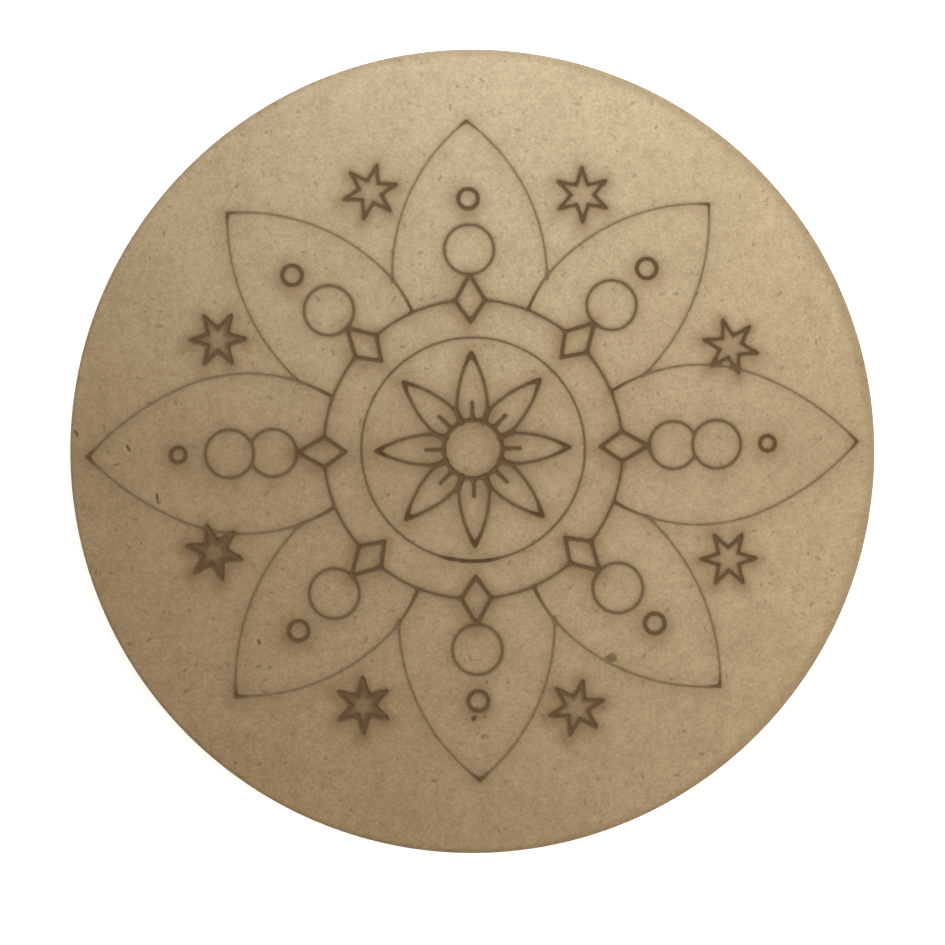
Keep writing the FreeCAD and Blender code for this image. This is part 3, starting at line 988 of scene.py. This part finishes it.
def scored_material():
    """The board with its char and smoke, and the dark cut edge."""
    steps = Steps("scored_fibreboard")
    place = place_in_mm(steps)
    char = char_share(steps, place)
    colour = board_colour(steps, place)
    colour = steps.blend(smoke_share(steps, place), colour, SMOKE_BROWN)
    colour = steps.blend(char, colour, CHAR_BROWN)
    on_edge = steps.fade(rim_distance(steps, place), *EDGE_BORDER)
    colour = steps.blend(on_edge, colour, edge_colour(steps, place))
    rough = steps.total(ROUGHNESS, steps.times(char, CHAR_ROUGHNESS),
                        steps.noise(place, *GLOSS_MOTTLE))
    bump = {"Strength": GRAIN_STRENGTH, "Distance": GRAIN_DEPTH * MM,
            "Height": steps.noise(place, *BOARD_GRAIN)}
    steps.finish({"Base Color": colour, "Roughness": rough, "Specular IOR Level": SPECULAR,
                  "Normal": steps.add("ShaderNodeBump", bump)})
    return steps.material


FLOOR_TONE = 0.93
FLOOR_ROUGHNESS = 0.9
FLOOR_GLOW = 0.85
WHITE = (1, 1, 1, 1)


def floor_material():
    """A plain white studio floor that glows a little, so that it stays white in the shade."""
    steps = Steps("studio_white")
    tone = steps.total(FLOOR_TONE, steps.noise(place_in_mm(steps), *FLOOR_MOTTLE))
    white = steps.add("ShaderNodeCombineColor", {0: tone, 1: tone, 2: tone})
    steps.finish({"Base Color": white, "Roughness": FLOOR_ROUGHNESS, "Emission Color": WHITE,
                  "Emission Strength": FLOOR_GLOW})
    return steps.material


# ---------------------------------------------------------------- studio

# The floor's reach in metres to each side, and its drop below the board, which keeps it clear.
FLOOR_REACH = 4.0
FLOOR_DROP = 0.1 * MM

# Each lamp's name, its place in mm, its size in mm, its power and its colour.
Lamp = namedtuple("Lamp", "name place size power colour")
LAMPS = (Lamp("softbox_above", (23, 172, 145), 200, 0.4, (0.84, 0.98, 1.06)),
         Lamp("softbox_right", (202, -50, 175), 300, 0.4, (0.95, 1.0, 0.96)))
SKY_LIGHT = (0.238, 0.158, 0.088, 1)
SKY_SEEN = (0.9, 0.9, 0.9, 1)

# The camera looks down on the board from nearly straight above; its clip distances are in metres.
CAMERA_PLACE = Vector((-4.30, -17.54, 503)) * MM
CAMERA_AIM = Vector((-0.24, -5.77, 3)) * MM
CAMERA_ROLL = -1.17
CAMERA_LENS = 76.67
CAMERA_SENSOR = 36
CAMERA_CLIP = (0.01, 20)


def look_from(place, aim, roll=0.0):
    """The matrix of a camera or lamp at a place, with +Y upwards in its view."""
    forward = (aim - place).normalized()
    right = forward.cross(Vector((0, 1, 0))).normalized()
    up = right.cross(forward)
    axes = Matrix((right, up, -forward)).transposed()
    axes = axes @ Matrix.Rotation(radians(roll), 3, "Z")
    return Matrix.Translation(place) @ axes.to_4x4()


def add_floor():
    mesh = bpy.data.meshes.new("studio_floor")
    corners = [(x * FLOOR_REACH, y * FLOOR_REACH, -FLOOR_DROP)
               for x, y in ((-1, -1), (1, -1), (1, 1), (-1, 1))]
    mesh.from_pydata(corners, [], [(0, 1, 2, 3)])
    mesh.materials.append(floor_material())
    floor = bpy.data.objects.new("studio_floor", mesh)
    bpy.context.scene.collection.objects.link(floor)


def add_lamp(lamp):
    """A round softbox that points at the board and isn't seen itself."""
    light = bpy.data.lights.new(lamp.name, "AREA")
    light.shape = "DISK"
    light.size = lamp.size * MM
    light.energy = lamp.power
    light.color = lamp.colour
    softbox = bpy.data.objects.new(lamp.name, light)
    softbox.matrix_world = look_from(Vector(lamp.place) * MM, Vector((0, 0, 0)))
    softbox.visible_camera = False
    bpy.context.scene.collection.objects.link(softbox)


def add_sky():
    """Dim warm light from all round, behind which the backdrop is seen as pale."""
    world = bpy.data.worlds.new("studio")
    bpy.context.scene.world = world
    world.use_nodes = True
    nodes, links = world.node_tree.nodes, world.node_tree.links
    lighting = nodes["Background"]
    lighting.inputs["Color"].default_value = SKY_LIGHT
    seen = nodes.new("ShaderNodeBackground")
    seen.inputs["Color"].default_value = SKY_SEEN
    path = nodes.new("ShaderNodeLightPath")
    mix = nodes.new("ShaderNodeMixShader")
    links.new(path.outputs["Is Camera Ray"], mix.inputs[0])
    links.new(lighting.outputs[0], mix.inputs[1])
    links.new(seen.outputs[0], mix.inputs[2])
    links.new(mix.outputs[0], nodes["World Output"].inputs["Surface"])


def add_camera():
    view = bpy.data.cameras.new("camera")
    view.lens = CAMERA_LENS
    view.sensor_width = CAMERA_SENSOR
    view.clip_start, view.clip_end = CAMERA_CLIP
    camera = bpy.data.objects.new("camera", view)
    bpy.context.scene.collection.objects.link(camera)
    camera.matrix_world = look_from(CAMERA_PLACE, CAMERA_AIM, CAMERA_ROLL)
    bpy.context.scene.camera = camera


board = build_board()
bpy.context.scene.collection.objects.link(board)
board.data.materials.append(scored_material())
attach(board, "root")
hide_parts(NODE_NAME)

add_floor()
for lamp in LAMPS:
    add_lamp(lamp)
add_sky()
add_camera()
bpy.context.scene.view_settings.view_transform = "Standard"
